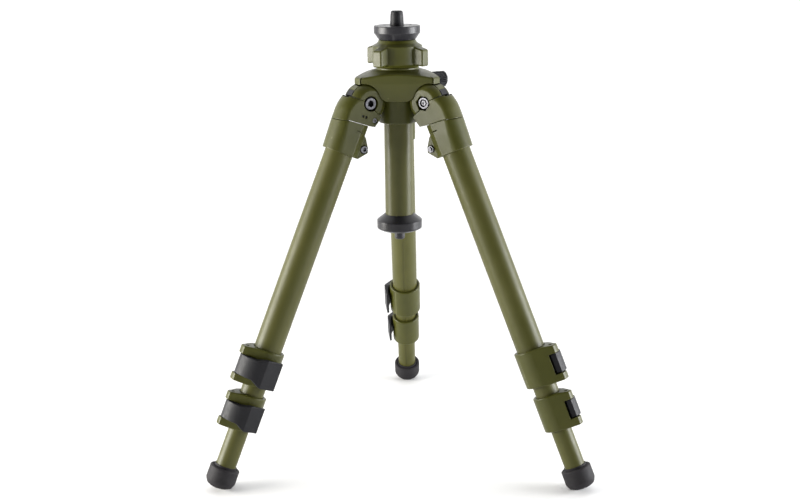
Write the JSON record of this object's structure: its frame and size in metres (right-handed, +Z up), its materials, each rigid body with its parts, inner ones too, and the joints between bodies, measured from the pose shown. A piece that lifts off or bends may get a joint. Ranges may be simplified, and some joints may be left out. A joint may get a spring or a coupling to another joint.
{
  "type": "field tripod",
  "caption": "Compact folding field tripod: centre column with a round top plate, hub with a screw-down lock collar, and telescoping legs with flip-lever locks and rubber feet.",
  "frame": {"origin": "on the floor, under the middle of the part's bounding box", "axes": "+Z up along the centre column, +Y towards the rear leg, +X to the right of it"},
  "size_m": [0.4012, 0.3516, 0.4795],
  "materials": {
    "olive_casting": "satin olive-drab paint on cast aluminium",
    "olive_tube": "satin olive-drab coating on drawn aluminium tube",
    "black_metal": "satin black paint on aluminium",
    "black_plastic": "fine-grained black nylon",
    "rubber": "matt black rubber",
    "steel": "zinc-plated steel",
    "nylon": "plain dark nylon"
  },
  "bodies": {
    "hub": {"hub_casting": "olive_casting", "guide_bush": "nylon", "column_collet": "nylon"},
    "collar": {"lock_collar": "olive_casting"},
    "knob": {"side_knob": "black_plastic"},
    "column": {"column_tube": "olive_tube", "top_plate": "black_metal", "top_stud": "steel", "lower_plate": "black_metal", "lower_stud": "black_metal"},
    "cap": {"stud_cap": "black_plastic"},
    "left_leg": {"left_hinge_knuckle": "olive_casting", "left_leg_shoulder": "olive_casting", "left_tube_clamp": "olive_casting", "left_hinge_bolt": "steel", "left_clamp_bolt": "steel", "left_upper_tube": "olive_tube", "left_upper_lock": "olive_casting", "left_upper_lock_pin": "steel"},
    "left_middle": {"left_middle_tube": "olive_tube", "left_lower_lock": "olive_casting", "left_lower_lock_pin": "steel"},
    "left_lower": {"left_lower_tube": "olive_tube", "left_foot": "rubber"},
    "left_upper_flip": {"left_upper_lever": "black_plastic"},
    "left_lower_flip": {"left_lower_lever": "black_plastic"},
    "left_stop": {"left_angle_stop": "black_plastic"},
    "right_leg": {"right_hinge_knuckle": "olive_casting", "right_leg_shoulder": "olive_casting", "right_tube_clamp": "olive_casting", "right_hinge_bolt": "steel", "right_clamp_bolt": "steel", "right_upper_tube": "olive_tube", "right_upper_lock": "olive_casting", "right_upper_lock_pin": "steel"},
    "right_middle": {"right_middle_tube": "olive_tube", "right_lower_lock": "olive_casting", "right_lower_lock_pin": "steel"},
    "right_lower": {"right_lower_tube": "olive_tube", "right_foot": "rubber"},
    "right_upper_flip": {"right_upper_lever": "black_plastic"},
    "right_lower_flip": {"right_lower_lever": "black_plastic"},
    "right_stop": {"right_angle_stop": "black_plastic"},
    "rear_leg": {"rear_hinge_knuckle": "olive_casting", "rear_leg_shoulder": "olive_casting", "rear_tube_clamp": "olive_casting", "rear_hinge_bolt": "steel", "rear_clamp_bolt": "steel", "rear_upper_tube": "olive_tube", "rear_upper_lock": "olive_casting", "rear_upper_lock_pin": "steel"},
    "rear_middle": {"rear_middle_tube": "olive_tube", "rear_lower_lock": "olive_casting", "rear_lower_lock_pin": "steel"},
    "rear_lower": {"rear_lower_tube": "olive_tube", "rear_foot": "rubber"},
    "rear_upper_flip": {"rear_upper_lever": "black_plastic"},
    "rear_lower_flip": {"rear_lower_lever": "black_plastic"},
    "rear_stop": {"rear_angle_stop": "black_plastic"}
  },
  "joints": [
    {"name": "column_slide", "type": "slide", "parent": "hub", "child": "column", "axis": [0, 0, 1], "range_m": [0, 0.09]},
    {"name": "collar_turn", "type": "hinge", "parent": "hub", "child": "collar", "pos_m": [0, -0.05327, 0.43637], "axis": [0, 0, 1], "range_deg": [0, 120]},
    {"name": "knob_turn", "type": "hinge", "parent": "hub", "child": "knob", "pos_m": [0.03897, -0.03077, 0.40687], "axis": [0.866, 0.5, 0], "continuous": true},
    {"name": "stud_cap_pull", "type": "slide", "parent": "column", "child": "cap", "axis": [0, 0, 1], "range_m": [0, 0.03]},
    {"name": "left_leg_swing", "type": "hinge", "parent": "hub", "child": "left_leg", "pos_m": [-0.03369, -0.07272, 0.38917], "axis": [-0.5, 0.866, 0], "range_deg": [-23, 46]},
    {"name": "left_middle_slide", "type": "slide", "parent": "left_leg", "child": "left_middle", "axis": [-0.3491, -0.2015, -0.9152], "range_m": [0, 0.17]},
    {"name": "left_lower_slide", "type": "slide", "parent": "left_middle", "child": "left_lower", "axis": [-0.3491, -0.2015, -0.9152], "range_m": [0, 0.18]},
    {"name": "left_upper_lever_turn", "type": "hinge", "parent": "left_leg", "child": "left_upper_flip", "pos_m": [-0.16088, -0.14616, 0.1326], "axis": [-0.3491, -0.2015, -0.9152], "range_deg": [0, 100]},
    {"name": "left_lower_lever_turn", "type": "hinge", "parent": "left_middle", "child": "left_lower_flip", "pos_m": [-0.17635, -0.15508, 0.08693], "axis": [-0.3491, -0.2015, -0.9152], "range_deg": [0, 100]},
    {"name": "left_angle_stop_press", "type": "slide", "parent": "left_leg", "child": "left_stop", "axis": [0.6095, 0.3519, -0.7104], "range_m": [0, 0.0025], "stiffness_N_per_m": 400},
    {"name": "right_leg_swing", "type": "hinge", "parent": "hub", "child": "right_leg", "pos_m": [0.03369, -0.07272, 0.38917], "axis": [-0.5, -0.866, 0], "range_deg": [-23, 46]},
    {"name": "right_middle_slide", "type": "slide", "parent": "right_leg", "child": "right_middle", "axis": [0.3491, -0.2015, -0.9152], "range_m": [0, 0.17]},
    {"name": "right_lower_slide", "type": "slide", "parent": "right_middle", "child": "right_lower", "axis": [0.3491, -0.2015, -0.9152], "range_m": [0, 0.18]},
    {"name": "right_upper_lever_turn", "type": "hinge", "parent": "right_leg", "child": "right_upper_flip", "pos_m": [0.16088, -0.14616, 0.1326], "axis": [0.3491, -0.2015, -0.9152], "range_deg": [0, 100]},
    {"name": "right_lower_lever_turn", "type": "hinge", "parent": "right_middle", "child": "right_lower_flip", "pos_m": [0.17635, -0.15508, 0.08693], "axis": [0.3491, -0.2015, -0.9152], "range_deg": [0, 100]},
    {"name": "right_angle_stop_press", "type": "slide", "parent": "right_leg", "child": "right_stop", "axis": [-0.6095, 0.3519, -0.7104], "range_m": [0, 0.0025], "stiffness_N_per_m": 400},
    {"name": "rear_leg_swing", "type": "hinge", "parent": "hub", "child": "rear_leg", "pos_m": [0, -0.01437, 0.38917], "axis": [1, 0, 0], "range_deg": [-23, 46]},
    {"name": "rear_middle_slide", "type": "slide", "parent": "rear_leg", "child": "rear_middle", "axis": [0, 0.4031, -0.9152], "range_m": [0, 0.17]},
    {"name": "rear_lower_slide", "type": "slide", "parent": "rear_middle", "child": "rear_lower", "axis": [0, 0.4031, -0.9152], "range_m": [0, 0.18]},
    {"name": "rear_upper_lever_turn", "type": "hinge", "parent": "rear_leg", "child": "rear_upper_flip", "pos_m": [0, 0.1325, 0.1326], "axis": [0, 0.4031, -0.9152], "range_deg": [0, 100]},
    {"name": "rear_lower_lever_turn", "type": "hinge", "parent": "rear_middle", "child": "rear_lower_flip", "pos_m": [0, 0.15036, 0.08693], "axis": [0, 0.4031, -0.9152], "range_deg": [0, 100]},
    {"name": "rear_angle_stop_press", "type": "slide", "parent": "rear_leg", "child": "rear_stop", "axis": [0, -0.7038, -0.7104], "range_m": [0, 0.0025], "stiffness_N_per_m": 400}
  ]
}
